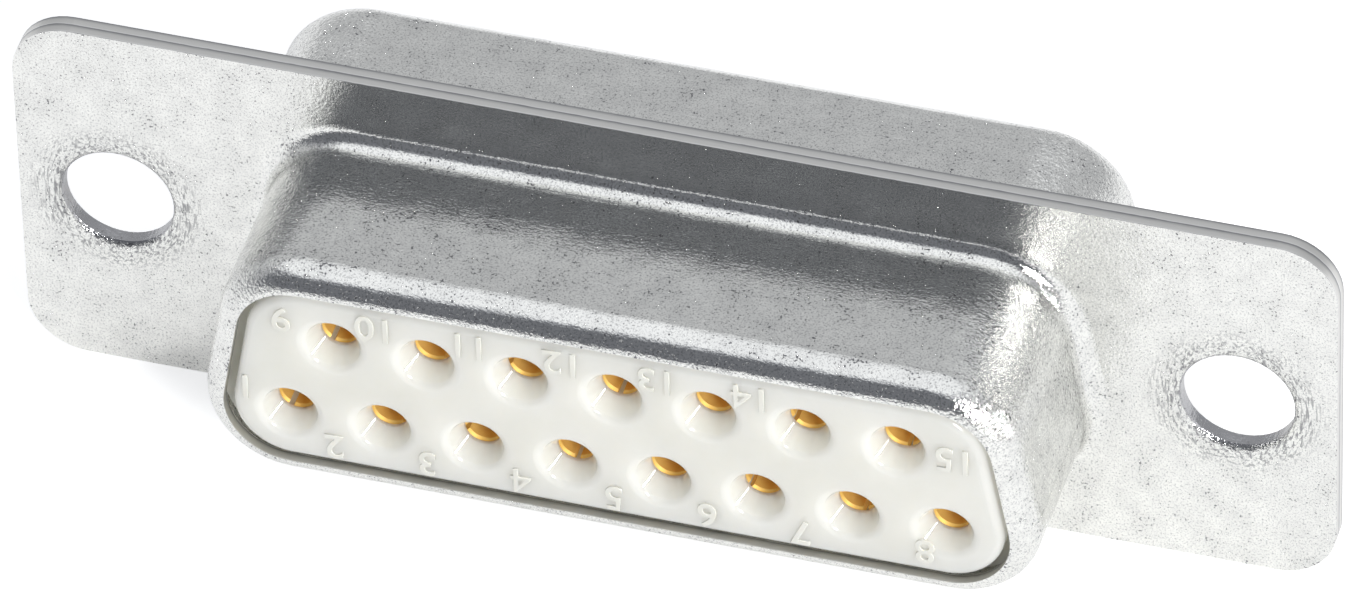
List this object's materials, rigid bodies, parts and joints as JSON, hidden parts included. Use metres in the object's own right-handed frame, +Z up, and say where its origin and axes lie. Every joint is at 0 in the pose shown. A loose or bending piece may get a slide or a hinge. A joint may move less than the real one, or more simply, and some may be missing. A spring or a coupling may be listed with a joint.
{
  "type": "d-sub connector",
  "caption": "Metal-shelled D-shaped socket connector with a flat flange, two mounting holes and two rows of round contact entries.",
  "frame": {"origin": "midway between the two mounting holes, on the flange's front face", "axes": "+X along the flange, -Y towards the mating plug, +Z up through the narrow row"},
  "size_m": [0.0392, 0.0122, 0.0124],
  "materials": {
    "shell_tin": "bright tin plate on drawn steel",
    "insulator": "moulded glass-filled polyester",
    "contact_gold": "gold plate on turned copper alloy",
    "clip": "plain stamped copper alloy"
  },
  "bodies": {
    "root": {"front_shell": "shell_tin", "rear_shell": "shell_tin", "front_insulator": "insulator", "rear_insulator": "insulator", "contact_01": "contact_gold", "contact_02": "contact_gold", "contact_03": "contact_gold", "contact_04": "contact_gold", "contact_05": "contact_gold", "contact_06": "contact_gold", "contact_07": "contact_gold", "contact_08": "contact_gold", "contact_09": "contact_gold", "contact_10": "contact_gold", "contact_11": "contact_gold", "contact_12": "contact_gold", "contact_13": "contact_gold", "contact_14": "contact_gold", "contact_15": "contact_gold", "retention_clip_01": "clip", "retention_clip_02": "clip", "retention_clip_03": "clip", "retention_clip_04": "clip", "retention_clip_05": "clip", "retention_clip_06": "clip", "retention_clip_07": "clip", "retention_clip_08": "clip", "retention_clip_09": "clip", "retention_clip_10": "clip", "retention_clip_11": "clip", "retention_clip_12": "clip", "retention_clip_13": "clip", "retention_clip_14": "clip", "retention_clip_15": "clip"}
  },
  "joints": []
}
